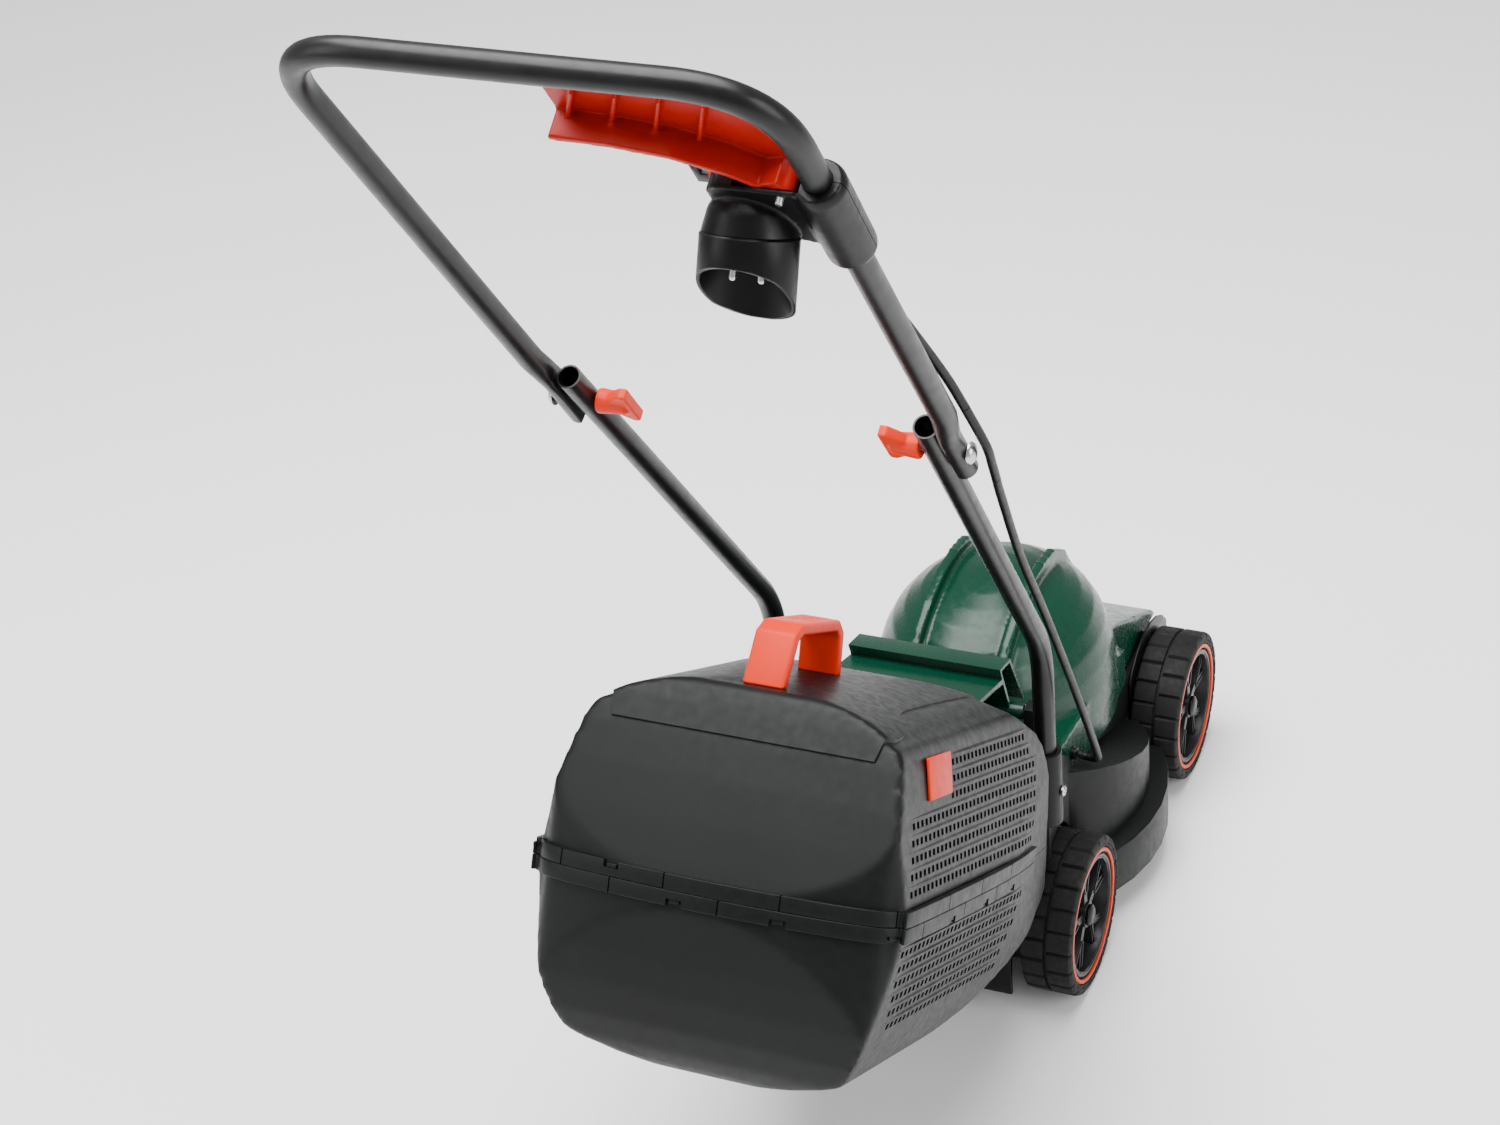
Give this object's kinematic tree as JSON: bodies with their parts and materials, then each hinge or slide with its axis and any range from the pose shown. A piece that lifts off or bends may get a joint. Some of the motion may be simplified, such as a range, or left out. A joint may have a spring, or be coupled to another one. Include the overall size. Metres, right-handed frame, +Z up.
{
  "type": "electric rotary lawn mower",
  "caption": "Small corded rotary lawn mower with plastic deck, motor hood, rigid grass box and a folding U handle carrying a bail lever and plug inlet.",
  "frame": {"origin": "on the ground under the middle of the mower's overall length and width", "axes": "+Z up, +Y forward in the direction of mowing, +X to the mower's right"},
  "size_m": [0.3546, 0.9943, 1.1355],
  "materials": {
    "charcoal_plastic": "fine moulded grain, matt",
    "black_plastic": "fine moulded grain, matt",
    "green_plastic": "satin moulded",
    "orange_plastic": "satin moulded",
    "red_plastic": "satin moulded",
    "ring_plastic": "satin moulded",
    "wheel_plastic": "satin moulded",
    "tyre": "block tread",
    "tube_paint": "satin powder coat",
    "steel": "zinc plated",
    "motor_case": "cast",
    "cable": "smooth rubber sheath"
  },
  "bodies": {
    "deck": {"deck_housing": "charcoal_plastic", "motor_hood": "green_plastic", "hood_vent_right": "black_plastic", "hood_vent_left": "black_plastic", "wheel_arch_right": "black_plastic", "wheel_arch_left": "black_plastic", "rear_shield": "black_plastic", "front_axle": "steel", "rear_axle": "steel", "motor_body": "motor_case", "flap_pin": "steel", "lower_tube_right": "tube_paint", "lower_tube_left": "tube_paint", "tube_screw_right": "steel", "tube_screw_left": "steel", "handle_bolt_right": "steel", "handle_bolt_left": "steel", "cable_lower": "cable", "cable_flex": "cable", "cable_grommet": "black_plastic"},
    "rotor": {"motor_shaft": "steel", "blade": "steel", "blade_bolt": "steel", "cooling_fan": "black_plastic"},
    "upper_handle": {"upper_handle_tube": "tube_paint", "switch_housing_front": "black_plastic", "switch_housing_rear": "black_plastic", "inlet_shroud": "black_plastic", "inlet_pin_right": "steel", "inlet_pin_left": "steel", "cord_hook": "black_plastic", "lever_pin": "steel", "cable_upper": "cable"},
    "knob_right": {"knob_right": "orange_plastic"},
    "knob_left": {"knob_left": "orange_plastic"},
    "bail": {"bail_lever": "red_plastic"},
    "lock_button": {"lock_button": "orange_plastic"},
    "flap": {"discharge_flap": "green_plastic"},
    "grass_box": {"box_upper": "charcoal_plastic", "box_lower": "charcoal_plastic", "carry_handle": "orange_plastic", "side_plate": "orange_plastic"},
    "wheel_rear_right": {"tyre_rear_right": "tyre", "rim_rear_right": "wheel_plastic", "accent_ring_rear_right": "ring_plastic", "wheel_cap_rear_right": "black_plastic"},
    "wheel_rear_left": {"tyre_rear_left": "tyre", "rim_rear_left": "wheel_plastic", "accent_ring_rear_left": "ring_plastic", "wheel_cap_rear_left": "black_plastic"},
    "wheel_front_right": {"tyre_front_right": "tyre", "rim_front_right": "wheel_plastic", "accent_ring_front_right": "ring_plastic", "wheel_cap_front_right": "black_plastic"},
    "wheel_front_left": {"tyre_front_left": "tyre", "rim_front_left": "wheel_plastic", "accent_ring_front_left": "ring_plastic", "wheel_cap_front_left": "black_plastic"}
  },
  "joints": [
    {"name": "blade_spin", "type": "hinge", "parent": "deck", "child": "rotor", "pos_m": [0, 0.258, 0.05], "axis": [0, 0, 1], "continuous": true},
    {"name": "wheel_rear_right_spin", "type": "hinge", "parent": "deck", "child": "wheel_rear_right", "pos_m": [0.1285, 0.092, 0.073], "axis": [1, 0, 0], "continuous": true},
    {"name": "wheel_rear_left_spin", "type": "hinge", "parent": "deck", "child": "wheel_rear_left", "pos_m": [-0.1285, 0.092, 0.073], "axis": [1, 0, 0], "continuous": true},
    {"name": "wheel_front_right_spin", "type": "hinge", "parent": "deck", "child": "wheel_front_right", "pos_m": [0.1285, 0.424, 0.073], "axis": [1, 0, 0], "continuous": true},
    {"name": "wheel_front_left_spin", "type": "hinge", "parent": "deck", "child": "wheel_front_left", "pos_m": [-0.1285, 0.424, 0.073], "axis": [1, 0, 0], "continuous": true},
    {"name": "handle_fold", "type": "hinge", "parent": "deck", "child": "upper_handle", "pos_m": [0, -0.195, 0.722], "axis": [-1, 0, 0], "range_deg": [0, 150], "deforming": ["cable_flex"]},
    {"name": "knob_right_turn", "type": "hinge", "parent": "deck", "child": "knob_right", "pos_m": [0.112, -0.195, 0.722], "axis": [1, 0, 0], "continuous": true},
    {"name": "knob_left_turn", "type": "hinge", "parent": "deck", "child": "knob_left", "pos_m": [-0.112, -0.195, 0.722], "axis": [1, 0, 0], "continuous": true},
    {"name": "bail_squeeze", "type": "hinge", "parent": "upper_handle", "child": "bail", "pos_m": [0.141, -0.42567, 1.04019], "axis": [0, 0.8096, 0.5869], "range_deg": [0, 13], "stiffness_Nm_per_rad": 1, "springref_deg": -20.05},
    {"name": "lock_button_press", "type": "slide", "parent": "upper_handle", "child": "lock_button", "axis": [1, 0, 0], "range_m": [0, 0.004], "stiffness_N_per_m": 300, "springref_m": -0.003},
    {"name": "flap_lift", "type": "hinge", "parent": "deck", "child": "flap", "pos_m": [0, 0.122, 0.262], "axis": [-1, 0, 0], "range_deg": [0, 55], "stiffness_Nm_per_rad": 0.2, "springref_deg": -45.84},
    {"name": "box_lift_off", "type": "slide", "parent": "deck", "child": "grass_box", "axis": [0, -0.8729, 0.4879], "range_m": [0, 0.3]}
  ]
}
